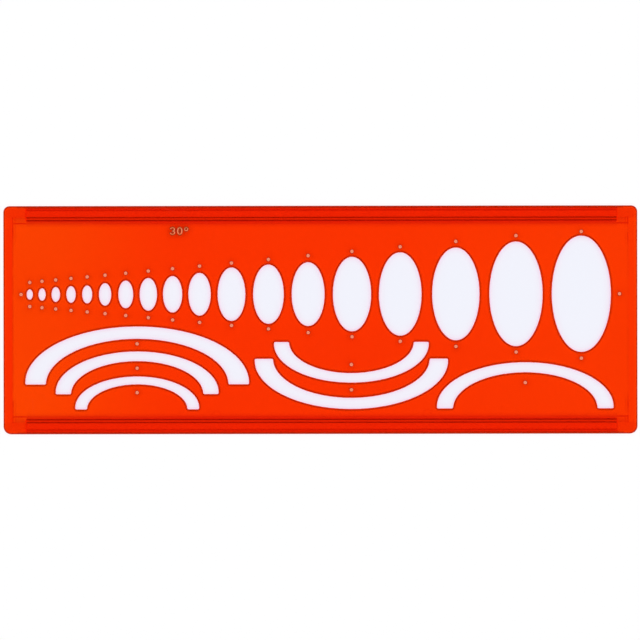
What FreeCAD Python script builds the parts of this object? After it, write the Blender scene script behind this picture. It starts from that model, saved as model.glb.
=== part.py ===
import FreeCAD
import Part
import math
import os

# Ellipse template for 30 degree ellipses, moulded in clear orange plastic.
# The sheet lies flat with its top up. The origin is under the middle of the sheet, on the
# paper: X runs along the sheet, Y across it towards the edge above the large ellipses, Z up.
# Two separate strips are bonded into the underside along the long edges. Each has two runner
# ribs, which hold the sheet off the paper so that wet ink can't creep under it.
# All lengths are in millimetres.

# Openings: what the pen draws, and the room that it needs
tilt_deg = 30.0
pen_clearance = 0.4

# Upright ellipses from left to right: the long axis that the pen draws, and the web of
# plastic between the opening and the next one
ellipse_row = (
    (3.2, 2.25), (4.0, 2.35), (5.0, 2.55), (5.7, 2.6), (6.2, 2.7), (8.0, 2.85),
    (10.0, 2.6), (12.0, 2.4), (13.5, 2.45), (16.0, 2.75), (20.2, 3.1), (22.5, 3.15),
    (24.3, 3.3), (28.5, 3.1), (32.0, 4.2), (35.7, 3.9), (40.4, 3.6), (45.0, 0.0),
)
row_left_margin = 9.2
row_right_margin = 10.45
row_top_margin = 5.05

# Half ellipse bands: half the outer length, and the width of a leg.
# Each list starts with the outermost band of its group.
left_bands = ((44.1, 8.1), (32.1, 6.0), (24.4, 4.6))
middle_bands = ((38.1, 7.2), (30.5, 5.9))
right_bands = ((34.8, 6.3),)
left_crown_webs = (5.05, 6.1)
middle_crown_webs = (6.05,)
band_leg = 0.75
band_corner_radius = 0.5
band_left_margin = 8.6
band_right_margin = 9.45
band_bottom_margin = 2.9
left_to_middle_web = 2.3
middle_under_right = 4.35

# How far each group lies below the axis of the ellipse row: the crown of the left and right
# groups, which arch upwards, and the open ends of the middle group, which arches downwards
left_crown_drop = 12.7
middle_ends_drop = 18.9
right_crown_drop = 27.0

# Axis marks: paint in small tapered dimples in the top face. Those of the ellipses lie on two
# straight lines that spread to the right, one above the row and one below it.
mark_radius = 0.65
mark_floor_radius = 0.4
mark_depth = 0.3
mark_sides = 18
mark_line_start = 4.75
mark_line_end = 25.4
mark_panel_gap = 3.45
mark_least_web = 1.0
row_start_mark_gap = 2.2
row_end_mark_gap = 3.4
left_mark_insets = (2.0, 2.8, 3.3)
middle_mark_insets = (3.2, 3.4)
right_mark_insets = (4.1,)

# Sheet: a rim all round, and inside it a panel that is a little thinner from below
rim_thickness = 1.4
panel_recess = 0.2
end_rim = 3.7
upper_corner_radius = 2.45
lower_corner_radius = 3.1
edge_bevel = 0.2

# Runner strips and their seat in the underside of the sheet
edge_lip = 0.65
rib_width = 1.1
strip_width = 5.2
strip_web_thickness = 0.5
rib_drop = 0.45
rib_rounding = 0.15
seat_depth = 0.35
seat_clearance = 0.1
bond_film = 0.05
groove_inner_gap = 1.05
groove_outer_gap = 0.35
strip_left_gap = 8.7
strip_right_gap = 7.9

# Lengths that differ by less than this count as equal where an edge is looked up
same_length = 0.01

# Heights that follow from the sizes above: the paper is at 0
strip_top_z = rib_drop + strip_web_thickness
seat_z = strip_top_z + bond_film
rim_z = seat_z - seat_depth
top_z = rim_z + rim_thickness
side_rim = edge_lip + strip_width + groove_inner_gap


def narrow(long_axis):
    """The short axis of a circle that is seen at the template's tilt."""
    return long_axis * math.sin(math.radians(tilt_deg))


def opening_size(drawn_length):
    """Width and height of the opening for an upright ellipse of the drawn length."""
    return narrow(drawn_length) + 2 * pen_clearance, drawn_length + 2 * pen_clearance


def ellipse_row_length():
    widths = sum(opening_size(drawn)[0] for drawn, web in ellipse_row)
    webs = sum(web for drawn, web in ellipse_row[:-1])
    return row_left_margin + widths + webs + row_right_margin


def band_row_length():
    halves = left_bands[0][0] + middle_bands[0][0] + right_bands[0][0]
    webs = left_to_middle_web - middle_under_right
    return band_left_margin + 2 * halves + webs + band_right_margin


# The longer of the two rows sets the length of the sheet, and what the other one has to
# spare widens its webs.
sheet_length = max(ellipse_row_length(), band_row_length())
sheet_left = -sheet_length / 2
sheet_right = sheet_length / 2


def ellipse_layout():
    """The centre, width and height of each upright opening, from left to right."""
    spare = (sheet_length - ellipse_row_length()) / (len(ellipse_row) - 1)
    placed = []
    x = sheet_left + row_left_margin
    for drawn, web in ellipse_row:
        width, height = opening_size(drawn)
        placed.append((x + width / 2, width, height))
        x += width + web + spare
    return placed


def band_centres():
    """The X of the left, middle and right group of bands."""
    spare = sheet_length - band_row_length()
    left_x = sheet_left + band_left_margin + left_bands[0][0]
    middle_start = left_x + left_bands[0][0] + left_to_middle_web + spare / 2
    right_x = sheet_right - band_right_margin - right_bands[0][0]
    return left_x, middle_start + middle_bands[0][0], right_x


def inner_half(band):
    outer, leg = band
    return outer - leg


def ends_from_outermost(bands, crown_webs, crown):
    """Distance of each band's open ends behind the given crown, from the outermost inwards."""
    ends = []
    for index, band in enumerate(bands):
        ends_at = crown - narrow(band[0]) - band_leg
        ends.append(ends_at)
        if index < len(crown_webs):
            crown = ends_at + narrow(inner_half(band)) - crown_webs[index]
    return ends


def ends_from_innermost(bands, crown_webs, innermost_ends):
    """The same for a group that is placed by the open ends of its innermost band."""
    ends = [innermost_ends]
    for index in range(len(bands) - 2, -1, -1):
        inner_crown = ends[0] + narrow(bands[index + 1][0]) + band_leg
        next_crown = inner_crown + crown_webs[index]
        ends.insert(0, next_crown - narrow(inner_half(bands[index])))
    return ends


# Heights on the sheet, counted from the axis of the ellipse row. For the middle group they
# are counted downwards, because it arches that way.
left_ends = ends_from_outermost(left_bands, left_crown_webs, -left_crown_drop)
right_ends = ends_from_outermost(right_bands, (), -right_crown_drop)
middle_ends = ends_from_innermost(middle_bands, middle_crown_webs, middle_ends_drop)
middle_crown_drop = middle_ends[0] + band_leg + narrow(middle_bands[0][0])
tallest = max(opening_size(drawn)[1] for drawn, web in ellipse_row)
panel_top = tallest / 2 + row_top_margin
panel_bottom = min(left_ends + right_ends + [-middle_crown_drop]) - band_bottom_margin
panel_half_width = (panel_top - panel_bottom) / 2
row_y = -(panel_top + panel_bottom) / 2
sheet_width = 2 * (panel_half_width + side_rim)


def through_prism(wire):
    """A prism on the wire that passes through the whole thickness of the sheet."""
    face = Part.Face(wire)
    face.translate(FreeCAD.Vector(0, 0, rim_z - rim_thickness))
    return face.extrude(FreeCAD.Vector(0, 0, 3 * rim_thickness))


def ellipse_opening(x, width, height):
    centre = FreeCAD.Vector(x, row_y, 0)
    long_end = centre + FreeCAD.Vector(0, height / 2, 0)
    short_end = centre + FreeCAD.Vector(width / 2, 0, 0)
    curve = Part.Ellipse(long_end, short_end, centre)
    return through_prism(Part.Wire(curve.toShape()))


def half_ellipse(x, y, half_length, arch):
    """The upper half of a lying ellipse, or the lower half where arch is -1."""
    centre = FreeCAD.Vector(x, y, 0)
    right_end = centre + FreeCAD.Vector(half_length, 0, 0)
    crown = centre + FreeCAD.Vector(0, arch * narrow(half_length), 0)
    curve = Part.Ellipse(right_end, crown, centre)
    return Part.ArcOfEllipse(curve, 0, math.pi).toShape()


def band_opening(x, ends_y, band, arch):
    """A half ellipse band with two short straight legs, whose open ends lie at ends_y."""
    outer = band[0]
    inner = inner_half(band)
    axis_y = ends_y + arch * band_leg
    edges = [half_ellipse(x, axis_y, outer, arch), half_ellipse(x, ends_y, inner, arch)]
    for side in (-1, 1):
        ends = FreeCAD.Vector(x + side * outer, ends_y, 0)
        leg_top = FreeCAD.Vector(x + side * outer, axis_y, 0)
        inside = FreeCAD.Vector(x + side * inner, ends_y, 0)
        edges.append(Part.LineSegment(leg_top, ends).toShape())
        edges.append(Part.LineSegment(ends, inside).toShape())
    prism = through_prism(Part.Wire(Part.__sortEdges__(edges)))
    corners = [
        edge for edge in prism.Edges
        if edge.BoundBox.ZLength > rim_thickness
        and abs(edge.BoundBox.YMin - ends_y) < same_length
    ]
    return prism.makeFillet(band_corner_radius, corners)


def band_groups():
    """Each group as its X, its bands, the Y of their open ends, the way they arch, and how
    far their marks lie inside them."""
    left_x, middle_x, right_x = band_centres()
    return (
        (left_x, left_bands, [row_y + end for end in left_ends], 1, left_mark_insets),
        (middle_x, middle_bands, [row_y - end for end in middle_ends], -1, middle_mark_insets),
        (right_x, right_bands, [row_y + end for end in right_ends], 1, right_mark_insets),
    )


def opening_prisms():
    prisms = [ellipse_opening(*placed) for placed in ellipse_layout()]
    for x, bands, ends, arch, insets in band_groups():
        for band, ends_y in zip(bands, ends):
            prisms.append(band_opening(x, ends_y, band, arch))
    return prisms


def box_between(low, high):
    size = [high[axis] - low[axis] for axis in range(3)]
    return Part.makeBox(*size, FreeCAD.Vector(*low))


def many_sided(x, y, z, radius):
    """A closed wire with the mark's number of equal sides."""
    turn = 2 * math.pi / mark_sides
    points = [
        FreeCAD.Vector(x + radius * math.cos(turn * step), y + radius * math.sin(turn * step), z)
        for step in range(mark_sides)
    ]
    return Part.makePolygon(points + points[:1])


def marks_at(places):
    """One tapered fill for each place, with its flat face flush with the top of the sheet."""
    fills = []
    for x, y in places:
        floor = many_sided(x, y, top_z - mark_depth, mark_floor_radius)
        face = many_sided(x, y, top_z, mark_radius)
        fills.append(Part.makeLoft([floor, face], True, True))
    return fills


def row_mark_places(side):
    """The marks above the ellipse row, or below it where side is -1. A mark leaves its line
    where it would come too near the edge of the panel or the end of its opening."""
    placed = ellipse_layout()
    first_x = placed[0][0]
    last_x = placed[-1][0]
    slope = (mark_line_end - mark_line_start) / (last_x - first_x)
    panel_limit = panel_half_width - side * row_y - mark_panel_gap
    places = []
    for x, width, height in placed:
        on_line = mark_line_start + slope * (x - first_x)
        clear = height / 2 + mark_least_web + mark_radius
        places.append((x, row_y + side * max(min(on_line, panel_limit), clear)))
    return places


def row_end_places():
    placed = ellipse_layout()
    first_x, first_width, first_height = placed[0]
    last_x, last_width, last_height = placed[-1]
    return [
        (first_x - first_width / 2 - row_start_mark_gap, row_y),
        (last_x + last_width / 2 + row_end_mark_gap, row_y),
    ]


def band_mark_places():
    places = []
    for x, bands, ends, arch, insets in band_groups():
        for band, ends_y, inset in zip(bands, ends, insets):
            crown_y = ends_y + arch * narrow(inner_half(band))
            places.append((x, crown_y - arch * inset))
    return places


def strip_ends():
    return sheet_left + strip_left_gap, sheet_right - strip_right_gap


def strip_lines():
    """The Y of the strip's inner face and outer face on the upper edge."""
    outer_y = sheet_width / 2 - edge_lip
    return outer_y - strip_width, outer_y


def underside_recesses():
    """The thin panel, and beside it on each long edge the seat of a strip and the longer
    groove in which its inner rib lies."""
    panel_x = sheet_length / 2 - end_rim
    below = rim_z - rim_thickness
    panel = box_between(
        (-panel_x, -panel_half_width, below),
        (panel_x, panel_half_width, rim_z + panel_recess),
    )
    strip_left, strip_right = strip_ends()
    inner_y, outer_y = strip_lines()
    seat = box_between(
        (strip_left - seat_clearance, inner_y, below),
        (strip_right + seat_clearance, outer_y + seat_clearance, seat_z),
    )
    groove = box_between(
        (-panel_x, inner_y - groove_inner_gap, below),
        (panel_x, inner_y + rib_width + groove_outer_gap, seat_z),
    )
    recesses = [panel]
    for recess in (seat, groove):
        recesses.append(recess)
        recesses.append(recess.mirror(FreeCAD.Vector(), FreeCAD.Vector(0, 1, 0)))
    return recesses


def sheet_blank():
    blank = box_between(
        (sheet_left, -sheet_width / 2, rim_z),
        (sheet_right, sheet_width / 2, top_z),
    )
    for side, radius in ((1, upper_corner_radius), (-1, lower_corner_radius)):
        corners = [
            edge for edge in blank.Edges
            if edge.BoundBox.ZLength > rim_thickness / 2 and side * edge.BoundBox.YMin > 0
        ]
        blank = blank.makeFillet(radius, corners)
    rims = [edge for edge in blank.Edges if edge.BoundBox.ZLength < rim_thickness / 2]
    return blank.makeChamfer(edge_bevel, rims)


def template_sheet(marks):
    return sheet_blank().cut(underside_recesses()).cut(opening_prisms()).cut(marks)


def runner_strip(side):
    """A strip of U section with its ribs down, bonded under the edge on the given side."""
    inner_y, outer_y = strip_lines()
    outline = [
        (inner_y, 0),
        (inner_y + rib_width, 0),
        (inner_y + rib_width, rib_drop),
        (outer_y - rib_width, rib_drop),
        (outer_y - rib_width, 0),
        (outer_y, 0),
        (outer_y, strip_top_z),
        (inner_y, strip_top_z),
    ]
    strip_left, strip_right = strip_ends()
    points = [FreeCAD.Vector(strip_left, side * y, z) for y, z in outline]
    face = Part.Face(Part.makePolygon(points + points[:1]))
    strip = face.extrude(FreeCAD.Vector(strip_right - strip_left, 0, 0))
    feet = [
        edge for edge in strip.Edges
        if edge.BoundBox.ZMax < rib_drop / 2 and edge.BoundBox.XLength > rib_width
    ]
    return strip.makeFillet(rib_rounding, feet)


def write(name, shapes):
    shape = shapes[0] if len(shapes) == 1 else Part.makeCompound(shapes)
    shape.exportStep("parts/" + name + ".step")


def main():
    os.makedirs("parts", exist_ok=True)
    marks = {
        "upper_axis_marks": marks_at(row_mark_places(1)),
        "lower_axis_marks": marks_at(row_mark_places(-1)),
        "row_end_marks": marks_at(row_end_places()),
        "band_axis_marks": marks_at(band_mark_places()),
    }
    every_mark = [mark for group in marks.values() for mark in group]
    write("template_sheet", [template_sheet(every_mark)])
    write("upper_ink_rail", [runner_strip(1)])
    write("lower_ink_rail", [runner_strip(-1)])
    for name, group in marks.items():
        write(name, group)


main()
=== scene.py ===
import math

import bmesh
import bpy
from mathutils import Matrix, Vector


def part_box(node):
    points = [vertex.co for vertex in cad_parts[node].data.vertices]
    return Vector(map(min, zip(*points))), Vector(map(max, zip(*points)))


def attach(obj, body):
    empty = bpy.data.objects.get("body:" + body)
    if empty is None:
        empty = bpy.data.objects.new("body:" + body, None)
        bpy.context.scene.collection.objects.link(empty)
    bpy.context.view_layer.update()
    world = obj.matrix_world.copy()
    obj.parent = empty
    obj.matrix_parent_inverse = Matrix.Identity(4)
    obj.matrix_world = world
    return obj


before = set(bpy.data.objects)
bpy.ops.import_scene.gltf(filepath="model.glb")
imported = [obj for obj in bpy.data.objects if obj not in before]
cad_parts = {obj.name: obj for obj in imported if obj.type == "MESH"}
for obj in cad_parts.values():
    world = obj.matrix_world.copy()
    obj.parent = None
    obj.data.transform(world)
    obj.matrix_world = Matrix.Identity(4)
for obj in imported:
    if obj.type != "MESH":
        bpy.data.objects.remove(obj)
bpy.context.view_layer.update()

bl_info = {
    "name": "Ellipse Template Finishes",
    "version": (1, 0, 0),
    "blender": (4, 5, 0),
    "location": "3D Viewport > Sidebar > Template",
    "description": "Clear orange plastic, wiped-in paint and a pale studio for the template",
    "category": "Object",
}

# Corners of the CAD pieces, in metres, for finishes that follow them
SHEET_LOW, SHEET_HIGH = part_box("template_sheet")
RAIL_LOW, RAIL_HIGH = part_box("upper_ink_rail")

# The same as distances from the middle of the sheet, along it and across it
SHEET_END = SHEET_HIGH.x
SHEET_SIDE = SHEET_HIGH.y
RAIL_INSIDE = RAIL_LOW.y
RAIL_OUTSIDE = RAIL_HIGH.y

MARK_NODES = ("upper_axis_marks", "lower_axis_marks", "row_end_marks", "band_axis_marks")

MM = 0.001

# Heights above the sheet's face: the film of painted shade round a painted mark, the painted shade
# inside a figure, and the foot and the top of a figure's paint
SHADE_FILM = 0.006 * MM
SHADE_FILL = 0.005 * MM
PAINT_FOOT = 0.003 * MM
PAINT_TOP = 0.014 * MM

# Order of the two finishes on the angle mark: the paint, and the painted shade round it
PAINT_SLOT, SHADE_SLOT = 0, 1


# --- Sizes and colours that a user would change ---


def colour_property(name, description, default, most=1.0):
    return bpy.props.FloatVectorProperty(
        name=name, description=description, subtype="COLOR", size=3,
        min=0.0, max=most, default=default,
    )


def number_property(name, description, default, least, most, **kind):
    return bpy.props.FloatProperty(
        name=name, description=description, default=default, min=least, max=most, **kind
    )


def length_property(*settings):
    return number_property(*settings, subtype="DISTANCE", unit="LENGTH", precision=5)


def share_property(*settings):
    return number_property(*settings, 0.0, 1.0, subtype="FACTOR")


class SheetFinish(bpy.types.PropertyGroup):
    """Clear dyed plastic of the moulded sheet"""

    colour: colour_property(
        "Colour", "Tint of the plastic where paper is seen through it", (0.99, 0.068, 0.001)
    )
    small_end_colour: colour_property(
        "Colour at the small end", "Warmer tint beside the smallest ellipses", (0.99, 0.112, 0.001)
    )
    large_end_colour: colour_property(
        "Colour at the large end", "Warmer tint beside the largest ellipse", (0.99, 0.081, 0.001)
    )
    rim_colour: colour_property(
        "Rim colour", "Deeper tint of the thicker rim at both ends", (0.97, 0.056, 0.001)
    )
    rim_width: length_property(
        "Rim width", "Width of the thicker rim at each end of the sheet", 0.0037, 0.0, 0.02
    )
    line_colour: colour_property(
        "Edge line colour", "Tint where an edge turns the light away", (0.25, 0.016, 0.001)
    )
    line_width: length_property(
        "Edge line width",
        "Radius of the rounding with the dark line, twice the line's distance from an edge",
        0.0019, 0.0, 0.005
    )
    # painted shade: the dark border along the outer edge
    border_width: length_property(
        "Border width", "Width of the dark border along the outer edge", 0.00055, 0.0, 0.005
    )
    upper_corner_radius: length_property(
        "Upper corner radius", "Radius of the border at the two upper corners", 0.00245, 0.0, 0.02
    )
    lower_corner_radius: length_property(
        "Lower corner radius", "Radius of the border at the two lower corners", 0.0031, 0.0, 0.02
    )
    dust_colour: colour_property("Dust colour", "Specks of dust", (0.75, 0.16, 0.05))
    # painted light: a steady red emission at every face, brighter at the walls, that shines
    # whatever the lamps
    glow: colour_property(
        "Glow", "Red light that the fluorescent dye adds at each face", (0.062, 0.0, 0.0)
    )
    wall_glow: colour_property(
        "Wall glow", "The same at the walls, where most of it comes out", (0.26, 0.024, 0.0)
    )
    gloss_roughness: share_property("Gloss roughness", "Roughness of the polished faces", 0.03)
    wall_roughness: share_property("Wall roughness", "Roughness of walls and outer edges", 0.22)
    shade_tint: colour_property(
        "Shade tint", "Tint that a face gives to light on its way down", (0.995, 0.74, 0.86)
    )
    # painted light: above 1, the wall tint passes on more red than reaches the wall
    wall_tint: colour_property(
        "Wall tint", "The same for a wall, where the dye adds red", (1.12, 1.0, 0.95), most=2.0
    )


class RailFinish(bpy.types.PropertyGroup):
    """Clear plastic of the two bonded ink rails"""

    colour: colour_property("Colour", "Tint that a rail adds below the sheet", (1.0, 0.62, 0.30))
    # painted shade: the two rib line colours are the dark lines where the rib walls turn the light
    # away
    inner_line_colour: colour_property(
        "Inner rib line colour", "Tint along the rib next to the panel", (0.02, 0.0, 0.0)
    )
    outer_line_colour: colour_property(
        "Outer rib line colour", "Tint along the rib next to the edge", (0.42, 0.20, 0.10)
    )
    line_width: length_property(
        "Rib line width", "Width of the dark line along each side of a rib", 0.0005, 0.0001, 0.003
    )
    rib_width: length_property(
        "Rib width", "Width of each of the two ribs under a rail", 0.0011, 0.0, 0.003
    )
    foot_roughness: share_property("Foot roughness", "Roughness of the worn feet", 0.30)


class PaintFinish(bpy.types.PropertyGroup):
    """Paint wiped into the dimples and into the angle mark"""

    colour: colour_property("Colour", "Matt cream paint", (1.0, 0.275, 0.19))
    figure_colour: colour_property(
        "Figure colour", "The same paint, thinner, in the angle mark", (0.98, 0.235, 0.10)
    )
    soiled_colour: colour_property(
        "Soiled colour", "Paint that ink and fingers have darkened", (0.78, 0.24, 0.11)
    )
    # darker colour at the top and bottom of a figure
    wiped_colour: colour_property(
        "Wiped colour", "Top and bottom of a figure, where a cloth wiped it", (0.43, 0.10, 0.01)
    )
    # Painted shade: this dark rim colour and width round the dimples and figures stand in for the
    # shade where their hollows turn the light away
    rim_colour: colour_property(
        "Rim colour", "Dark ink left round the painted dimples and figures", (0.28, 0.022, 0.001)
    )
    rim_width: length_property(
        "Rim width", "Most width of the dark ink round a painted dimple", 0.00022, 0.0, 0.002
    )
    roughness: share_property("Roughness", "Roughness of the dry paint", 0.6)


class AngleMark(bpy.types.PropertyGroup):
    """Painted figures that give the angle of the ellipses"""

    figure_height: length_property(
        "Figure height", "Height of the figures over their strokes", 0.00305, 0.001, 0.01
    )
    figure_width: length_property(
        "Figure width", "Width of one figure over its strokes", 0.00208, 0.001, 0.01
    )
    figure_gap: length_property("Figure gap", "Gap between two figures", 0.00077, 0.0, 0.01)
    stroke: length_property("Stroke", "Width of a painted stroke", 0.00042, 0.0001, 0.002)
    # painted shade: width of the dark rim of painted shade beside a stroke
    rim: length_property("Rim", "Width of the dark rim beside a stroke", 0.00026, 0.0, 0.001)
    from_left: length_property(
        "Distance from the left end", "From the left end of the sheet to the first figure",
        0.0657, 0.0, 0.25
    )
    from_top: length_property(
        "Distance from the top edge", "From the upper edge of the sheet to the top of the figures",
        0.00837, 0.0, 0.09
    )


class Studio(bpy.types.PropertyGroup):
    """Paper, light and camera"""

    floor_size: length_property("Floor size", "Side of the square floor", 12.0, 1.0, 50.0)
    floor_colour: colour_property(
        "Floor colour", "White of the floor round the template", (0.985, 0.985, 0.99)
    )
    # painted shade: the darker, cooler white under the template stands in for the shade it casts,
    # seen through the openings
    paper_colour: colour_property(
        "Paper colour", "Cooler white of the paper under the template", (0.868, 0.882, 0.96)
    )
    sky_strength: number_property("Sky strength", "Soft white light from high up", 1.76, 0.0, 5.0)
    horizon_strength: number_property(
        "Horizon strength", "Weaker white light from near the horizon", 0.32, 0.0, 5.0
    )
    camera_height: length_property(
        "Camera height", "Height of the camera above the paper", 2.105, 0.5, 10.0
    )
    camera_lens: number_property(
        "Lens", "Focal length in millimetres on a 36 mm sensor", 300.0, 50.0, 600.0
    )


class TemplateSettings(bpy.types.PropertyGroup):
    """All settings of the ellipse template"""

    sheet: bpy.props.PointerProperty(type=SheetFinish)
    rail: bpy.props.PointerProperty(type=RailFinish)
    paint: bpy.props.PointerProperty(type=PaintFinish)
    angle_mark: bpy.props.PointerProperty(type=AngleMark)
    studio: bpy.props.PointerProperty(type=Studio)


# --- Node helpers ---


def feed(tree, socket, value):
    """Feeds an input from another socket, or sets it to a plain value."""
    if isinstance(value, bpy.types.NodeSocket):
        tree.links.new(value, socket)
    elif socket.type == "RGBA":
        socket.default_value = (*value, 1.0)
    else:
        socket.default_value = value


def feed_all(tree, node, inputs):
    """Feeds the node's inputs, each by its name or its number."""
    for key, value in inputs.items():
        feed(tree, node.inputs[key], value)


def add_node(tree, kind, label, inputs=None, **settings):
    """A labelled node with its settings and its inputs."""
    node = tree.nodes.new(kind)
    node.label = label
    for name, value in settings.items():
        setattr(node, name, value)
    feed_all(tree, node, inputs or {})
    return node


def maths(tree, label, operation, *values):
    inputs = dict(enumerate(values))
    return add_node(tree, "ShaderNodeMath", label, inputs, operation=operation).outputs[0]


def joined(tree, label, operation, values):
    """All the values joined by one operation, from the first to the last."""
    total, *others = values
    for value in others:
        total = maths(tree, label, operation, total, value)
    return total


def product(tree, label, *values):
    return joined(tree, label, "MULTIPLY", values)


def greatest(tree, label, *values):
    return joined(tree, label, "MAXIMUM", values)


def rest_of(tree, label, share):
    """What a share leaves of 1."""
    return maths(tree, label, "SUBTRACT", 1.0, share)


def size_of(tree, label, value):
    return maths(tree, label, "ABSOLUTE", value)


def length_of(tree, label, sides):
    """Length of the long side of a right triangle."""
    squares = [product(tree, "square", side, side) for side in sides]
    return maths(tree, label, "SQRT", maths(tree, "sum of squares", "ADD", *squares))


def ramp(tree, label, value, low, high, to_low=0.0, to_high=1.0):
    """A soft change from one result to the other while the value goes from low to high."""
    inputs = {
        "Value": value, "From Min": low, "From Max": high, "To Min": to_low, "To Max": to_high,
    }
    node = add_node(tree, "ShaderNodeMapRange", label, inputs, interpolation_type="SMOOTHSTEP")
    return node.outputs["Result"]


def fade(tree, label, value, low, high, least=0.0):
    """A soft change from 1 down to the least share."""
    return ramp(tree, label, value, low, high, 1.0, least)


def rise(tree, label, distance, line, low, high):
    """From 0 to 1 between two distances from a line on the sheet, in millimetres."""
    return ramp(tree, label, distance, line + low * MM, line + high * MM)


def fall(tree, label, distance, line, low, high, least=0.0):
    """From 1 to the least share between two distances from a line, in millimetres."""
    return fade(tree, label, distance, line + low * MM, line + high * MM, least)


def mix_colour(tree, label, factor, first, second):
    inputs = {0: factor, 6: first, 7: second}
    return add_node(tree, "ShaderNodeMix", label, inputs, data_type="RGBA").outputs[2]


def mix_value(tree, label, factor, first, second):
    inputs = {0: factor, 2: first, 3: second}
    return add_node(tree, "ShaderNodeMix", label, inputs, data_type="FLOAT").outputs[0]


def mix_shader(tree, label, factor, first, second):
    inputs = {0: factor, 1: first, 2: second}
    return add_node(tree, "ShaderNodeMixShader", label, inputs).outputs[0]


def noise(tree, label, place, scale, detail=2.0, roughness=0.5):
    inputs = {"Vector": place, "Scale": scale, "Detail": detail, "Roughness": roughness}
    return add_node(tree, "ShaderNodeTexNoise", label, inputs).outputs["Fac"]


def cells(tree, label, place, scale, feature):
    """Distance from the edges or from the middles of scattered cells."""
    inputs = {"Vector": place, "Scale": scale}
    node = add_node(tree, "ShaderNodeTexVoronoi", label, inputs, feature=feature)
    return node.outputs["Distance"]


def stretched(tree, label, place, turn, stretch):
    """The place turned about Z and stretched, for marks with a direction."""
    inputs = {"Vector": place, "Rotation": (0.0, 0.0, turn), "Scale": stretch}
    node = add_node(tree, "ShaderNodeMapping", label, inputs, vector_type="TEXTURE")
    return node.outputs["Vector"]


def object_place(tree):
    """Place on the object, in metres."""
    return add_node(tree, "ShaderNodeTexCoord", "place").outputs["Object"]


def parts_of(tree, label, vector):
    """X, Y and Z of a vector."""
    return add_node(tree, "ShaderNodeSeparateXYZ", label, {0: vector}).outputs


def kinds_of_ray(tree, label, *kinds):
    """1 for a ray of any of these kinds."""
    path = add_node(tree, "ShaderNodeLightPath", "kind of ray")
    return greatest(tree, label, *(path.outputs[kind] for kind in kinds))


def shaded(colour, *shares):
    """The colour with each of its channels multiplied by its own share."""
    return tuple(channel * share for channel, share in zip(colour, shares))


# --- Effects that several finishes share ---

# Direction of the hairline scratches, in radians, and the scale of their pattern
SCRATCHES = ((0.35, 60.0), (-0.9, 75.0), (1.35, 50.0))


def new_group(name, inputs, outputs):
    """An empty group with number sockets: the group, what it is given and what it gives."""
    group = bpy.data.node_groups.new(name, "ShaderNodeTree")
    for label, default in inputs.items():
        socket = group.interface.new_socket(label, in_out="INPUT", socket_type="NodeSocketFloat")
        socket.default_value = default
    for label in outputs:
        group.interface.new_socket(label, in_out="OUTPUT", socket_type="NodeSocketFloat")
    given = group.nodes.new("NodeGroupInput").outputs
    return group, given, group.nodes.new("NodeGroupOutput").inputs


def use_effect(tree, effect, **values):
    """Places a shared effect in a material. Its group is made the first time."""
    name = effect.__name__.replace("_", " ")
    group = bpy.data.node_groups.get(name) or effect(name)
    inputs = {label.capitalize(): value for label, value in values.items()}
    return add_node(tree, "ShaderNodeGroup", name, inputs, node_tree=group).outputs


def edge_lines(name):
    """A thin line just inside every edge, where rounded plastic turns the light away."""
    group, given, result = new_group(name, {"Width": 0.0005, "Far": 0.05, "Near": 1.0}, ("Line",))
    rounded = add_node(group, "ShaderNodeBevel", "normal of a rounded edge",
                       {"Radius": given["Width"]}, samples=8)
    face = add_node(group, "ShaderNodeNewGeometry", "face")
    both = {0: rounded.outputs["Normal"], 1: face.outputs["Normal"]}
    dot = add_node(group, "ShaderNodeVectorMath", "agreement", both, operation="DOT_PRODUCT")
    turned = rest_of(group, "turned", size_of(group, "either side", dot.outputs["Value"]))
    begins = ramp(group, "begins", turned, 0.0, given["Far"])
    twice_near = maths(group, "twice near", "MULTIPLY", given["Near"], 2.0)
    ends = fade(group, "ends before the edge", turned, given["Near"], twice_near)
    feed(group, result["Line"], product(group, "line", begins, ends))
    return group


def handling_marks(name):
    """Hairline scratches and dust specks from years in a drawer."""
    group, given, result = new_group(name, {"Scratches": 0.5, "Specks": 0.5}, ("Scratch", "Speck"))
    place = object_place(group)
    scratches = []
    for index, (turn, scale) in enumerate(SCRATCHES):
        along = stretched(group, "direction", place, turn, (9.0, 1.0, 1.0))
        wander = noise(group, "wander", place, 14.0 + 5 * index, detail=1.0)
        shift = maths(group, "shift", "MULTIPLY", wander, 0.02)
        sideways = add_node(group, "ShaderNodeCombineXYZ", "sideways", {"Y": shift})
        both = {0: along, 1: sideways.outputs["Vector"]}
        bent = add_node(group, "ShaderNodeVectorMath", "bent", both, operation="ADD")
        edge = cells(group, "edges", bent.outputs["Vector"], scale, "DISTANCE_TO_EDGE")
        hair = fade(group, "hairline", edge, 0.0, 0.006)
        patch = ramp(group, "where", noise(group, "patches", place, 35.0 + 8 * index), 0.52, 0.66)
        scratches.append(product(group, "scratch", hair, patch))
    scratch = greatest(group, "together", *scratches)
    feed(group, result["Scratch"], product(group, "scratches", scratch, given["Scratches"]))
    speck = fade(group, "speck", cells(group, "dust", place, 160.0, "F1"), 0.02, 0.05)
    feed(group, result["Speck"], product(group, "specks", speck, given["Specks"]))
    return group


def moulding_flow(name):
    """Slow waves that the plastic keeps from filling the mould."""
    group, given, result = new_group(name, {"Scale": 12.0, "Depth": 1.0}, ("Shade", "Height"))
    along = stretched(group, "along the sheet", object_place(group), 0.12, (2.6, 1.0, 1.0))
    wave = noise(group, "waves", along, given["Scale"], detail=2.5, roughness=0.55)
    feed(group, result["Shade"], wave)
    feed(group, result["Height"], product(group, "depth", wave, given["Depth"]))
    return group


# --- What the finishes are made of ---


def new_finish(name):
    """A new material, its nodes, its Principled shader and the place on the object."""
    material = bpy.data.materials.new(name)
    material.use_nodes = True
    material.cycles.emission_sampling = "NONE"
    tree = material.node_tree
    return material, tree, tree.nodes["Principled BSDF"], object_place(tree)


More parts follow.
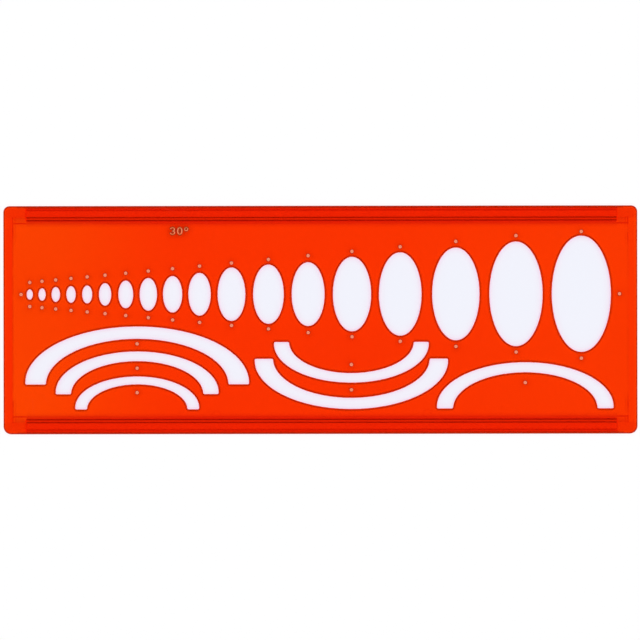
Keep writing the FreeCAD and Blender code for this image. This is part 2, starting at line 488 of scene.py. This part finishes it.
def show(tree, shader):
    """Puts the shader on the material's output."""
    feed(tree, tree.nodes["Material Output"].inputs["Surface"], shader)


def relief(tree, shader, height, strength, depth):
    """Small bumps over the surface."""
    inputs = {"Strength": strength, "Distance": depth, "Height": height}
    bump = add_node(tree, "ShaderNodeBump", "relief", inputs)
    feed(tree, shader.inputs["Normal"], bump.outputs["Normal"])


def scratched(tree, shader, rough, marks, flow, blur, depth, strength):
    """A polished face with waves from the mould, blurred and dented where it is scratched."""
    blurred = product(tree, "scratch blur", marks["Scratch"], blur)
    rough = maths(tree, "scratched", "ADD", rough, blurred)
    feed(tree, shader.inputs["Roughness"], maths(tree, "at most 1", "MINIMUM", rough, 1.0))
    height = maths(tree, "scratch depth", "MULTIPLY_ADD", marks["Scratch"], -depth, flow)
    relief(tree, shader, height, strength, 0.1 * MM)


def clear_plastic(tree, shader, finish, wall, flat_glow, wall_glow):
    """Clear fluorescent plastic. Light on its way to the paper passes straight on, tinted at
    each face, so that a clear piece casts a soft tinted shade and not a black one."""
    # painted glow: a steady red emission at each face, brighter at the walls
    glow = mix_colour(tree, "brighter at the walls", wall, flat_glow, wall_glow)
    feed_all(tree, shader, {
        "Transmission Weight": 1.0, "IOR": 1.49, "Emission Color": glow, "Emission Strength": 1.0,
    })
    onward = kinds_of_ray(tree, "on its way to the paper", "Is Shadow Ray", "Is Diffuse Ray")
    tint = mix_colour(tree, "tint of the light", wall, finish.shade_tint, finish.wall_tint)
    clear = add_node(tree, "ShaderNodeBsdfTransparent", "straight on", {"Color": tint})
    show(tree, mix_shader(tree, "eye or paper", onward, shader.outputs[0], clear.outputs[0]))


def upright_faces(tree):
    """1 on walls and edges, 0 on faces that lie flat."""
    face = add_node(tree, "ShaderNodeNewGeometry", "face")
    up = parts_of(tree, "face normal", face.outputs["True Normal"])[2]
    return fade(tree, "upright", size_of(tree, "flatness", up), 0.3, 0.8)


def rail_reach(tree, x):
    """1 along the rails, fading out just before their ends."""
    start = rise(tree, "rail start", x, RAIL_LOW.x, 0.0, 0.7)
    end = fall(tree, "rail end", x, RAIL_HIGH.x, -0.4, 0.0)
    return product(tree, "rail reach", start, end)


def soft_lines(tree, label, distance, places, width):
    """Soft lines of one width, each where the distance has one of these values."""
    lines = []
    for place in places:
        off = size_of(tree, label + " side", maths(tree, "from it", "SUBTRACT", distance, place))
        lines.append(fade(tree, label + " line", off, width * 0.25, width * 0.75))
    return greatest(tree, label + " lines", *lines)


def uneven(tree, place, least):
    """Slow change along the sheet, from the least share to 1, for lines that come and go."""
    along = stretched(tree, "slow along the sheet", place, 0.0, (6.0, 1.0, 1.0))
    wander = noise(tree, "comes and goes", along, 260.0, detail=1.0)
    return ramp(tree, "share of the line", wander, 0.34, 0.52, to_low=least)


# --- The sheet ---

# Middles of the two places where pins pushed the sheet out of its mould, and the radius there
PINS = ((-41.1 * MM, -37.3 * MM), (42.2 * MM, -36.9 * MM))
PIN_RADIUS = 1.55 * MM


def depth_inside(tree, x, y, finish):
    """Distance inwards from the outer edge of the sheet, round its corners too."""
    upper = rise(tree, "upper half", y, 0.0, -0.01, 0.01)
    radius = mix_value(tree, "corner radius", upper,
                       finish.lower_corner_radius, finish.upper_corner_radius)
    sides = []
    for label, value, reach in (("x", x, SHEET_END), ("y", y, SHEET_SIDE)):
        size = size_of(tree, "size of " + label, value)
        past = maths(tree, label + " past the edge", "SUBTRACT", size, reach)
        sides.append(maths(tree, label + " past the corner's middle", "ADD", past, radius))
    outside = [maths(tree, "only outwards", "MAXIMUM", side, 0.0) for side in sides]
    nearer = greatest(tree, "nearer side", *sides)
    straight = maths(tree, "only inwards", "MINIMUM", nearer, 0.0)
    around = length_of(tree, "round the corner", outside)
    past = maths(tree, "past it", "ADD", around, straight)
    return maths(tree, "depth inside", "SUBTRACT", radius, past)


def sheet_tint(tree, finish, x, along):
    """The plastic's own tint: warmer towards both ends, uneven from its flow into the mould,
    and deeper in the thicker rims."""
    small_end = fade(tree, "towards the small end", x, SHEET_LOW.x * 0.97, SHEET_LOW.x * 0.4)
    large_end = ramp(tree, "towards the large end", x, SHEET_END * 0.1, SHEET_END * 0.95)
    tint = mix_colour(tree, "small end", small_end, finish.colour, finish.small_end_colour)
    tint = mix_colour(tree, "large end", large_end, tint, finish.large_end_colour)
    flow = use_effect(tree, moulding_flow, scale=14.0, depth=0.6)
    flowing = ramp(tree, "flow shade", flow["Shade"], 0.3, 0.7, to_high=0.22)
    tint = mix_colour(tree, "flow", flowing, tint, shaded(finish.colour, 0.93, 0.72, 0.8))
    panel_end = SHEET_END - finish.rim_width
    rim = rise(tree, "rim", along, panel_end, 0.0, 0.3)
    share = fall(tree, "fainter at the large end", x, 0.0, 0.0, 1.0, least=0.45)
    rim = product(tree, "share of the rim", rim, share)
    return mix_colour(tree, "rims", rim, tint, finish.rim_colour), flow["Height"]


def shades_at_rails(tree, along, across, reach, line_width):
    """Masks of the places over and beside the rails, with what each keeps of the sheet's red,
    green and blue. Beside the rails this darkening is a painted shadow of the rails, and along the
    edge of each seat it is a painted shade line."""
    no_rail = rest_of(tree, "no rail", reach)
    over_rail = rise(tree, "near the rails", across, RAIL_INSIDE, -0.1, 0.0)
    over_rail = product(tree, "over the rails", over_rail, reach)
    outer_rib = rise(tree, "near the outer rib", across, RAIL_OUTSIDE, -1.8, -1.0)
    corner = rise(tree, "near the corner", across, RAIL_INSIDE, 0.5, 1.7)
    beside = rise(tree, "near the groove", across, RAIL_INSIDE, -3.15, 1.35)
    not_over = rest_of(tree, "not over a rail", over_rail)
    past_end = ramp(tree, "past a rail's end", along,
                    SHEET_END - 5.5 * MM, SHEET_END - 4.0 * MM, to_low=0.4, to_high=0.0)
    in_groove = fall(tree, "in the groove", across, RAIL_INSIDE, 0.9, 1.5)
    groove = greatest(tree, "along the groove", reach,
                      product(tree, "groove past a rail's end", past_end, in_groove))
    seat = soft_lines(tree, "seat", across, (RAIL_INSIDE,), line_width)
    return (
        ("over the rails", over_rail, (0.87, 1.29, 5.0)),
        ("over the outer rib", product(tree, "outer rib", outer_rib, reach), (0.78, 0.86, 5.0)),
        ("corner blocks", product(tree, "corner", corner, no_rail), (0.92, 0.80, 1.2)),
        # painted shadow of the rails on the panel beside them
        ("beside the rails", product(tree, "beside", beside, not_over, groove), (0.60, 0.10, 3.0)),
        # painted shade: a dark line where the seat's wall turns the light away
        ("edge of a seat", product(tree, "edge of a seat", seat, reach, 0.55), (0.4, 0.0, 0.0)),
    )


def step_lines(tree, finish, place, x, along, across, reach):
    """Thin dark lines at the steps from the panel to the grooves and to the rims: painted shade
    where the steps turn the light away.
    """
    panel_end = SHEET_END - finish.rim_width
    groove_end = rise(tree, "as far as the groove", across, RAIL_INSIDE, -1.7, -1.3)
    groove_end = product(tree, "groove's end", groove_end, rest_of(tree, "past the rail", reach))
    share = maths(tree, "share at the steps", "MULTIPLY", uneven(tree, place, 0.25), 0.34)
    share = mix_value(tree, "plainer at the groove's end", groove_end, share, 0.72)

    groove_step = soft_lines(tree, "groove step", across, (RAIL_INSIDE - 1.05 * MM,), 0.5 * MM)
    to_the_rim = fall(tree, "as far as the rim", along, SHEET_END, -3.8, -3.4)
    groove_step = product(tree, "groove step here", groove_step, to_the_rim)

    near_corner = rise(tree, "near the corners", across, RAIL_INSIDE, -11.0, -6.0)
    fainter = fall(tree, "fainter at the large end", x, 0.0, 0.0, 1.0, least=0.35)
    end_share = maths(tree, "share at the ends", "MULTIPLY_ADD", near_corner, 1.2, fainter)
    end_share = mix_value(tree, "alike at the groove's end", groove_end, end_share, 1.0)
    rim_step = soft_lines(tree, "rim step", along, (panel_end - 0.05 * MM,), 0.5 * MM)
    rim_step = product(tree, "share of the rim step", rim_step, end_share)
    step_foot = soft_lines(tree, "step foot", along, (panel_end - 0.9 * MM,), 0.8 * MM)
    foot_share = maths(tree, "share of the foot", "MULTIPLY", near_corner, 0.6)
    step_foot = product(tree, "foot of the step", step_foot, foot_share)
    no_corner = fall(tree, "not in the corners", across, RAIL_INSIDE, 1.3, 1.7)
    rim_step = product(tree, "rim step here", no_corner,
                       greatest(tree, "rim step and its foot", rim_step, step_foot))
    return product(tree, "step lines", greatest(tree, "either step", groove_step, rim_step), share)


def dark_edges(tree, finish, x, y, along, across):
    """Painted shade: the dark line inside every edge, fainter along the shallow steps, and the
    dark border along the outer edge, where the edges turn the light away.
    """
    line = use_effect(tree, edge_lines, width=finish.line_width, far=0.07, near=0.12)["Line"]
    ends = fall(tree, "towards the ends", along, SHEET_END, -5.7, -5.1, least=0.22)
    steps = fall(tree, "steps at the rails", across, RAIL_INSIDE, -3.0, -2.5, least=0.25)
    edge = rise(tree, "outer edge", across, RAIL_OUTSIDE, -0.5, -0.2)
    fainter = greatest(tree, "but not the edge", steps, edge)
    line = product(tree, "line here", line, product(tree, "fainter", fainter, ends))
    border = ramp(tree, "border", depth_inside(tree, x, y, finish), finish.border_width * 0.5,
                  finish.border_width * 1.4, to_low=0.8, to_high=0.0)
    return greatest(tree, "line or border", line, border)


def sheet_finish(settings):
    finish = settings.sheet
    material, tree, shader, place = new_finish("clear orange sheet")
    x, y, _ = parts_of(tree, "x y z", place)
    along = size_of(tree, "distance along", x)
    across = size_of(tree, "distance across", y)
    reach = rail_reach(tree, x)
    marks = use_effect(tree, handling_marks, scratches=0.55, specks=0.5)

    tint, flow = sheet_tint(tree, finish, x, along)
    shades = [*shades_at_rails(tree, along, across, reach, settings.rail.line_width)]
    steps = step_lines(tree, finish, place, x, along, across, reach)
    # painted shade lines at the steps
    shades.append(("step lines", steps, (0.70, 0.15, 1.0)))
    for pin in PINS:
        sides = [maths(tree, "from the pin", "SUBTRACT", *pair) for pair in zip((x, y), pin)]
        away = length_of(tree, "distance from the pin", sides)
        ring = soft_lines(tree, "pin", away, (PIN_RADIUS,), 0.55 * MM)
        shades.append(("pin mark", product(tree, "faint", ring, 0.22), (0.75, 0.3, 1.0)))
    for label, mask, shares in shades:
        tint = mix_colour(tree, label, mask, tint, shaded(finish.colour, *shares))
    edges = dark_edges(tree, finish, x, y, along, across)
    tint = mix_colour(tree, "dark edges", edges, tint, finish.line_colour)
    tint = mix_colour(tree, "dust", marks["Speck"], tint, finish.dust_colour)
    feed(tree, shader.inputs["Base Color"], tint)

    wall = upright_faces(tree)
    rough = mix_value(tree, "frosted walls", wall, finish.gloss_roughness, finish.wall_roughness)
    scratched(tree, shader, rough, marks, flow, blur=0.35, depth=0.5, strength=0.09)
    clear_plastic(tree, shader, finish, wall, finish.glow, finish.wall_glow)
    return material


# --- The rails ---


def rail_finish(settings):
    finish = settings.rail
    material, tree, shader, place = new_finish("clear orange rail")
    x, y, z = parts_of(tree, "x y z", place)
    flow = use_effect(tree, moulding_flow, scale=40.0, depth=0.4)
    marks = use_effect(tree, handling_marks, scratches=0.8, specks=0.3)
    streak = ramp(tree, "flow shade", flow["Shade"], 0.35, 0.7, to_high=0.35)
    tint = mix_colour(tree, "flow", streak, finish.colour, shaded(finish.colour, 0.97, 0.9, 0.95))

    # painted shade: dark lines along the sides of the ribs, at the level of their walls, where the
    # walls turn the light away, each in a wider, softer painted shade
    across = size_of(tree, "distance across", y)
    inner = (RAIL_INSIDE + 0.12 * MM, RAIL_INSIDE + finish.rib_width + 0.17 * MM)
    outer = (RAIL_OUTSIDE - finish.rib_width + 0.1 * MM, RAIL_OUTSIDE)
    below = fall(tree, "below the web", z, 0.0, 0.6, 0.8)
    reach = product(tree, "along the rail", below, rail_reach(tree, x))
    # painted shade over the inner rib, between its two lines
    rib = soft_lines(tree, "inner rib", across, (sum(inner) / 2,), finish.rib_width * 1.3)
    rib = product(tree, "rib between its lines", rib, reach, 0.3)
    tint = mix_colour(tree, "painted shade on the inner rib", rib, tint, finish.inner_line_colour)
    for label, places, colour, least in (
        ("inner", inner, finish.inner_line_colour, 0.93),
        ("outer", outer, finish.outer_line_colour, 0.8),
    ):
        there = product(tree, label + " strong in places", reach, uneven(tree, place, least))
        shade = soft_lines(tree, label + " shade", across, places, finish.line_width * 2.6)
        shade = product(tree, label + " rib shade", shade, there, 0.16)
        tint = mix_colour(tree, label + " shades", shade, tint, colour)
        line = soft_lines(tree, label + " rib", across, places, finish.line_width)
        most = maths(tree, "not quite black", "MULTIPLY", there, 0.93)
        line = product(tree, label + " rib lines", line, most)
        tint = mix_colour(tree, label + " lines", line, tint, colour)
    feed(tree, shader.inputs["Base Color"], tint)

    foot = fall(tree, "foot", z, 0.0, 0.05, 0.16)
    gloss = settings.sheet.gloss_roughness
    rough = mix_value(tree, "worn feet", foot, gloss, finish.foot_roughness)
    scratched(tree, shader, rough, marks, flow["Height"], blur=0.4, depth=0.6, strength=0.06)
    # painted glow at the rail's walls
    glow = shaded(settings.sheet.wall_glow, 0.7, 0.7, 0.7)
    clear_plastic(tree, shader, settings.sheet, upright_faces(tree), (0.0, 0.0, 0.0), glow)
    return material


# --- Paint, and painted shade round it ---


def paint_finish(settings, name, colour, most_soil, in_dimples):
    """Paint with soiled patches, darker in the middle of a dimple, and darker at the top and
    bottom of a figure."""
    finish = settings.paint
    material, tree, shader, place = new_finish(name)
    marks = use_effect(tree, handling_marks, scratches=0.6, specks=0.0)
    cloud = noise(tree, "uneven wiping", place, 1400.0, detail=3.0, roughness=0.6)
    soil = ramp(tree, "soil", cloud, 0.42, 0.75, to_high=most_soil)
    if in_dimples:
        edge = use_effect(tree, edge_lines, width=0.55 * MM, far=0.2, near=1.0)["Line"]
        middle = ramp(tree, "middle", edge, 0.3, 0.9, to_low=0.85, to_high=0.0)
        soil = greatest(tree, "darker in the middle", soil, middle)
    tint = mix_colour(tree, "soiled paint", soil, colour, finish.soiled_colour)
    if not in_dimples:
        half = settings.angle_mark.figure_height / 2
        middle = SHEET_SIDE - settings.angle_mark.from_top - half
        y = parts_of(tree, "x y z", place)[1]
        off = size_of(tree, "off the middle", maths(tree, "from it", "SUBTRACT", y, middle))
        ends = ramp(tree, "top and bottom", off, half * 0.55, half * 0.85, to_high=0.7)
        tint = mix_colour(tree, "darker top and bottom", ends, tint, finish.wiped_colour)
    dry = ramp(tree, "dry patches", cloud, 0.3, 0.7,
               finish.roughness - 0.12, finish.roughness + 0.15)
    feed_all(tree, shader, {"Base Color": tint, "Roughness": dry, "Specular IOR Level": 0.2})
    grain = maths(tree, "grain", "MULTIPLY_ADD", marks["Scratch"], -0.5, cloud)
    relief(tree, shader, grain, strength=0.3, depth=0.05 * MM)
    return material


def ink_finish(settings):
    """Painted shade in the corner beside the paint, where a hollow turns the light away, lighter
    in places.
    """
    colour = settings.paint.rim_colour
    material, tree, shader, place = new_finish("painted shade round the paint")
    cloud = noise(tree, "thin places", place, 1100.0, detail=3.0, roughness=0.6)
    thin = ramp(tree, "how thin", cloud, 0.45, 0.75, to_high=0.5)
    # the painted shade, lighter in places
    tint = mix_colour(tree, "ink", thin, colour, shaded(colour, 3.0, 2.0, 1.0))
    dry = ramp(tree, "dry places", cloud, 0.3, 0.7, to_low=0.45, to_high=0.7)
    feed_all(tree, shader, {"Base Color": tint, "Roughness": dry, "Specular IOR Level": 0.1})
    relief(tree, shader, cloud, strength=0.25, depth=0.03 * MM)
    return material


def dress(names, material):
    """Gives the finish to the material slots of the CAD nodes."""
    for name in names:
        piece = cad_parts[name]
        if not piece.material_slots:
            piece.data.materials.append(material)
        for slot in piece.material_slots:
            slot.material = material


# --- Pieces made from a mesh ---


def add_object(name, data):
    thing = bpy.data.objects.new(name, data)
    bpy.context.scene.collection.objects.link(thing)
    return thing


def add_face(mesh, corners, slot):
    mesh.faces.new(corners).material_index = slot


def add_sides(mesh, rows, closed, tube=False, slot=0):
    """Faces from each row of points to the next, all round a tube or open on one side."""
    for one, two in zip(rows, rows[1:] + rows[:1] if closed else rows[1:]):
        for corner in range(len(one) if tube else len(one) - 1):
            after = (corner + 1) % len(one)
            add_face(mesh, (one[corner], two[corner], two[after], one[after]), slot)


def finish_piece(name, mesh):
    """A piece in the scene from the finished mesh, with its faces turned outwards."""
    bmesh.ops.recalc_face_normals(mesh, faces=mesh.faces)
    data = bpy.data.meshes.new(name)
    mesh.to_mesh(data)
    mesh.free()
    return add_object(name, data)


# --- Painted shade round the dimples ---

# Points round one ring of painted shade
RING_STEPS = 36


def dimple_places(name):
    """Centre and radius of each painted dimple of a CAD node, from its mesh."""
    mesh = bmesh.new()
    mesh.from_mesh(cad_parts[name].data)
    bmesh.ops.remove_doubles(mesh, verts=mesh.verts, dist=0.001 * MM)
    mesh.verts.ensure_lookup_table()
    mesh.verts.index_update()
    waiting = set(range(len(mesh.verts)))
    places = []
    while waiting:
        start = min(waiting)
        waiting.discard(start)
        points, edge = [], [start]
        while edge:
            vertex = mesh.verts[edge.pop()]
            points.append(vertex.co.xy)
            for link in vertex.link_edges:
                other = link.other_vert(vertex).index
                if other in waiting:
                    waiting.discard(other)
                    edge.append(other)
        ends = [(min(values), max(values)) for values in zip(*points)]
        middle = Vector([(low + high) / 2 for low, high in ends])
        places.append((middle, max((point - middle).length for point in points)))
    mesh.free()
    return sorted(places, key=lambda place: (place[0].x, place[0].y))


def build_dimple_rims(settings, names):
    """Thin uneven dark rings on the sheet, each close round one painted dimple: painted shade
    where the dimple's moulded cone turns the light away.
    """
    surface = SHEET_HIGH.z
    mesh = bmesh.new()
    places = [place for name in names for place in dimple_places(name)]
    for index, (middle, radius) in enumerate(places):
        rows = []
        for step in range(RING_STEPS):
            angle = 2 * math.pi * step / RING_STEPS
            swell = 0.72 + 0.28 * math.sin(angle + index * 2.4) * math.cos(2 * angle - index)
            away = Vector((math.cos(angle), math.sin(angle)))
            inside = middle + away * (radius - 0.02 * MM)
            outside = middle + away * (radius + settings.paint.rim_width * swell)
            profile = (
                (inside, surface), (inside, surface + SHADE_FILM),
                (outside, surface + SHADE_FILM * 0.5), (outside, surface),
            )
            rows.append([mesh.verts.new((*point, height)) for point, height in profile])
        add_sides(mesh, rows, closed=True, tube=True)
    return finish_piece("dimple_rims", mesh)


# --- Angle mark ---

# Steps along one bowl of a figure and round the end of a stroke, and the angle in degrees
# where the bowls of the 3 end
BOWL_STEPS = 14
CAP_STEPS = 6
BOWL_TIP = 155


def arc(centre, half_width, half_height, start, end, steps):
    """Points on part of an upright oval, from the start angle to the end angle in degrees."""
    points = []
    for step in range(steps + 1):
        angle = math.radians(start + (end - start) * step / steps)
        points.append(Vector((
            centre[0] + half_width * math.cos(angle), centre[1] + half_height * math.sin(angle)
        )))
    return points


def three_path(left, top, width, height, stroke):
    """Middle line of the figure 3: two bowls that meet at the waist."""
    half = (width - stroke) / 2
    middle = left + width / 2
    bowl = (height - stroke) / 4
    upper = arc((middle, top - stroke / 2 - bowl), half * 0.92, bowl, BOWL_TIP, -90, BOWL_STEPS)
    lower = arc((middle, top - stroke / 2 - 3 * bowl), half, bowl, 90, -BOWL_TIP, BOWL_STEPS)
    return upper + lower[1:], False


def nought_path(left, top, width, height, stroke):
    """Middle line of the figure 0, closed."""
    centre = (left + width / 2, top - height / 2)
    half_width, half_height = (width - stroke) / 2, (height - stroke) / 2
    return arc(centre, half_width, half_height, 90, -270, 2 * BOWL_STEPS)[:-1], True


def stroke_outline(path, closed, half_width):
    """Left and right points of a stroke of even width along the path."""
    count = len(path)
    left, right = [], []
    for index, point in enumerate(path):
        before = path[index - 1] if closed or index else point
        after = path[(index + 1) % count] if closed or index < count - 1 else point
        along = (after - before).normalized()
        side = Vector((-along.y, along.x)) * half_width
        left.append(point + side)
        right.append(point - side)
    return left, right


def add_cap(mesh, row, point, away, half_width, heights, slot):
    """The rounded end of a stroke."""
    across = row[0].co.xy - point
    start = math.atan2(across.y, across.x)
    turn = math.pi if across.cross(away) > 0 else -math.pi
    chain = [(row[0], row[1])]
    for step in range(1, CAP_STEPS):
        angle = start + turn * step / CAP_STEPS
        spot = point + Vector((math.cos(angle), math.sin(angle))) * half_width
        chain.append([mesh.verts.new((*spot, height)) for height in heights])
    chain.append((row[3], row[2]))
    add_face(mesh, [pair[1] for pair in chain], slot)
    add_sides(mesh, chain, closed=False, slot=slot)


def add_stroke(mesh, path, closed, half_width, low, high, slot):
    """A flat painted stroke with rounded ends, from the low height to the high one."""
    rows = []
    for left, right in zip(*stroke_outline(path, closed, half_width)):
        profile = ((left, low), (left, high), (right, high), (right, low))
        rows.append([mesh.verts.new((*point, height)) for point, height in profile])
    add_sides(mesh, rows, closed, slot=slot)
    if not closed:
        first, last = path[0] - path[1], path[-1] - path[-2]
        add_cap(mesh, rows[0], path[0], first, half_width, (low, high), slot)
        add_cap(mesh, rows[-1], path[-1], last, half_width, (low, high), slot)


def build_angle_mark(settings):
    """The figures, as strokes of paint on wider dark strokes of painted shade, with painted shade
    inside their bowls.
    """
    mark = settings.angle_mark
    left = SHEET_LOW.x + mark.from_left
    top = SHEET_SIDE - mark.from_top
    surface = SHEET_HIGH.z
    size = (mark.figure_width, mark.figure_height, mark.stroke)
    step = mark.figure_width + mark.figure_gap
    ring = mark.figure_height * 0.5
    thin = mark.stroke * 0.7
    figures = [
        (*three_path(left, top, *size), mark.stroke),
        (*nought_path(left + step, top, *size), mark.stroke),
        (*nought_path(left + 2 * step, top, ring, ring, thin), thin),
    ]
    mesh = bmesh.new()
    for path, closed, stroke in figures:
        half = stroke / 2
        add_stroke(mesh, path, closed, half + mark.rim, surface, surface + SHADE_FILM, SHADE_SLOT)
        add_stroke(mesh, path, closed, half, surface + PAINT_FOOT, surface + PAINT_TOP, PAINT_SLOT)
        waist = len(path) // 2
        for bowl in [path] if closed else [path[:waist + 1], path[waist:]]:
            fill = [mesh.verts.new((*point, surface + SHADE_FILL)) for point in bowl]
            add_face(mesh, fill, SHADE_SLOT)
    return finish_piece("angle_mark", mesh)


# --- Studio ---

# The camera's place against the middle of the sheet, and its turn in radians
CAMERA_OFFSET = (-0.158 * MM, -0.06 * MM)
CAMERA_TURN = -0.0014


def paper_finish(settings):
    studio = settings.studio
    material, tree, shader, place = new_finish("pale paper")
    x, y, _ = parts_of(tree, "x y z", place)
    inset = 1.2 * MM
    sides = [fade(tree, "under it", size_of(tree, "distance", value), reach - inset, reach)
             for value, reach in ((x, SHEET_END), (y, SHEET_SIDE))]
    under = product(tree, "under the template", *sides)
    # painted shade under the template
    colour = mix_colour(tree, "white", under, studio.floor_colour, studio.paper_colour)
    grain = noise(tree, "paper grain", place, 900.0)
    grain = ramp(tree, "faint grain", grain, 0.3, 0.7, to_high=0.01)
    colour = mix_colour(tree, "with grain", grain, colour, (0.9, 0.9, 0.9))
    feed_all(tree, shader, {"Base Color": colour, "Roughness": 0.9, "Specular IOR Level": 0.0})

    # most of the paper round the template is plain white to the eye, and keeps a soft shadow
    eye = kinds_of_ray(tree, "seen or mirrored",
                       "Is Camera Ray", "Is Transmission Ray", "Is Glossy Ray")
    around = rest_of(tree, "round the template", under)
    share = product(tree, "share of white", eye, around, 0.68)
    white = add_node(tree, "ShaderNodeEmission", "plain white")
    paper = mix_shader(tree, "paper or white", share, shader.outputs[0], white.outputs[0])

    # from below the paper isn't there, so that the ribs and the stepped underside can be seen
    face = add_node(tree, "ShaderNodeNewGeometry", "side")
    nothing = add_node(tree, "ShaderNodeBsdfTransparent", "not there")
    show(tree, mix_shader(tree, "above or below", face.outputs["Backfacing"],
                          paper, nothing.outputs[0]))
    return material


def build_floor(settings):
    half = settings.studio.floor_size / 2
    data = bpy.data.meshes.new("paper")
    corners = [(-half, -half, 0.0), (half, -half, 0.0), (half, half, 0.0), (-half, half, 0.0)]
    data.from_pydata(corners, [], [(0, 1, 2, 3)])
    data.materials.append(paper_finish(settings))
    floor = add_object("paper", data)
    floor.location.z = -0.02 * MM


def build_sky(settings):
    """Soft white light, brighter high up than near the horizon, with a dark patch straight
    overhead, so that the flat sheet doesn't mirror white into a lens above it. The eye sees
    plain white behind the floor, also through clear plastic."""
    studio = settings.studio
    world = bpy.data.worlds.new("soft white studio")
    world.use_nodes = True
    tree = world.node_tree
    direction = add_node(tree, "ShaderNodeTexCoord", "direction").outputs["Generated"]
    up = parts_of(tree, "x y z", direction)[2]
    light = ramp(tree, "brighter high up", up, 0.5, 0.75,
                 studio.horizon_strength, studio.sky_strength)
    light = product(tree, "soft boxes", light, fade(tree, "dark overhead", up, 0.93, 0.97))
    eye = kinds_of_ray(tree, "seen", "Is Camera Ray", "Is Transmission Ray")
    strength = mix_value(tree, "white to the eye", eye, light, 1.0)
    feed_all(tree, tree.nodes["Background"], {"Color": (1.0, 1.0, 1.0), "Strength": strength})
    bpy.context.scene.world = world


def build_camera(settings):
    data = bpy.data.cameras.new("camera")
    data.sensor_width = 36.0
    data.lens = settings.studio.camera_lens
    data.clip_end = 20.0
    camera = add_object("camera", data)
    camera.location = (*CAMERA_OFFSET, settings.studio.camera_height)
    camera.rotation_euler = (0.0, 0.0, CAMERA_TURN)
    bpy.context.scene.camera = camera


# --- Operators ---


class TEMPLATE_OT_finish_sheet(bpy.types.Operator):
    """Give the moulded sheet its clear orange plastic"""

    bl_idname = "template.finish_sheet"
    bl_label = "Finish Sheet"

    def execute(self, context):
        dress(["template_sheet"], sheet_finish(context.scene.template_settings))
        return {"FINISHED"}


class TEMPLATE_OT_finish_rails(bpy.types.Operator):
    """Give both ink rails their clear plastic with dark rib lines"""

    bl_idname = "template.finish_rails"
    bl_label = "Finish Rails"

    def execute(self, context):
        dress(["upper_ink_rail", "lower_ink_rail"], rail_finish(context.scene.template_settings))
        return {"FINISHED"}


class TEMPLATE_OT_finish_marks(bpy.types.Operator):
    """Fill the axis dimples with matt cream paint, in thin rings of painted shade"""

    bl_idname = "template.finish_marks"
    bl_label = "Finish Axis Marks"

    def execute(self, context):
        settings = context.scene.template_settings
        colour = settings.paint.colour
        dress(MARK_NODES, paint_finish(settings, "wiped-in paint", colour, 0.4, in_dimples=True))
        piece = build_dimple_rims(settings, MARK_NODES)
        piece.data.materials.append(ink_finish(settings))
        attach(piece, "root")
        return {"FINISHED"}


class TEMPLATE_OT_angle_mark(bpy.types.Operator):
    """Paint the angle of the ellipses on the sheet"""

    bl_idname = "template.angle_mark"
    bl_label = "Paint Angle Mark"

    def execute(self, context):
        settings = context.scene.template_settings
        piece = build_angle_mark(settings)
        colour = settings.paint.figure_colour
        paint = paint_finish(settings, "figure paint", colour, 0.2, in_dimples=False)
        piece.data.materials.append(paint)
        piece.data.materials.append(ink_finish(settings))
        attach(piece, "root")
        return {"FINISHED"}


class TEMPLATE_OT_studio(bpy.types.Operator):
    """Lay the pale paper, and set the light and the camera"""

    bl_idname = "template.studio"
    bl_label = "Set Studio"

    def execute(self, context):
        settings = context.scene.template_settings
        build_floor(settings)
        build_sky(settings)
        build_camera(settings)
        context.scene.view_settings.view_transform = "Standard"
        return {"FINISHED"}


class TEMPLATE_PT_sidebar(bpy.types.Panel):
    """Settings and steps of the ellipse template"""

    bl_label = "Ellipse Template"
    bl_idname = "TEMPLATE_PT_sidebar"
    bl_space_type = "VIEW_3D"
    bl_region_type = "UI"
    bl_category = "Template"

    def draw(self, context):
        settings = context.scene.template_settings
        steps = (
            (TEMPLATE_OT_finish_sheet, settings.sheet),
            (TEMPLATE_OT_finish_rails, settings.rail),
            (TEMPLATE_OT_finish_marks, settings.paint),
            (TEMPLATE_OT_angle_mark, settings.angle_mark),
            (TEMPLATE_OT_studio, settings.studio),
        )
        for step, group in steps:
            box = self.layout.box()
            for name in group.__annotations__:
                box.prop(group, name)
            box.operator(step.bl_idname)


CLASSES = (
    SheetFinish,
    RailFinish,
    PaintFinish,
    AngleMark,
    Studio,
    TemplateSettings,
    TEMPLATE_OT_finish_sheet,
    TEMPLATE_OT_finish_rails,
    TEMPLATE_OT_finish_marks,
    TEMPLATE_OT_angle_mark,
    TEMPLATE_OT_studio,
    TEMPLATE_PT_sidebar,
)


def register():
    for cls in CLASSES:
        bpy.utils.register_class(cls)
    bpy.types.Scene.template_settings = bpy.props.PointerProperty(type=TemplateSettings)


def unregister():
    del bpy.types.Scene.template_settings
    for cls in reversed(CLASSES):
        bpy.utils.unregister_class(cls)


def main():
    register()
    bpy.ops.template.finish_sheet()
    bpy.ops.template.finish_rails()
    bpy.ops.template.finish_marks()
    bpy.ops.template.angle_mark()
    bpy.ops.template.studio()


if __name__ == "__main__":
    main()
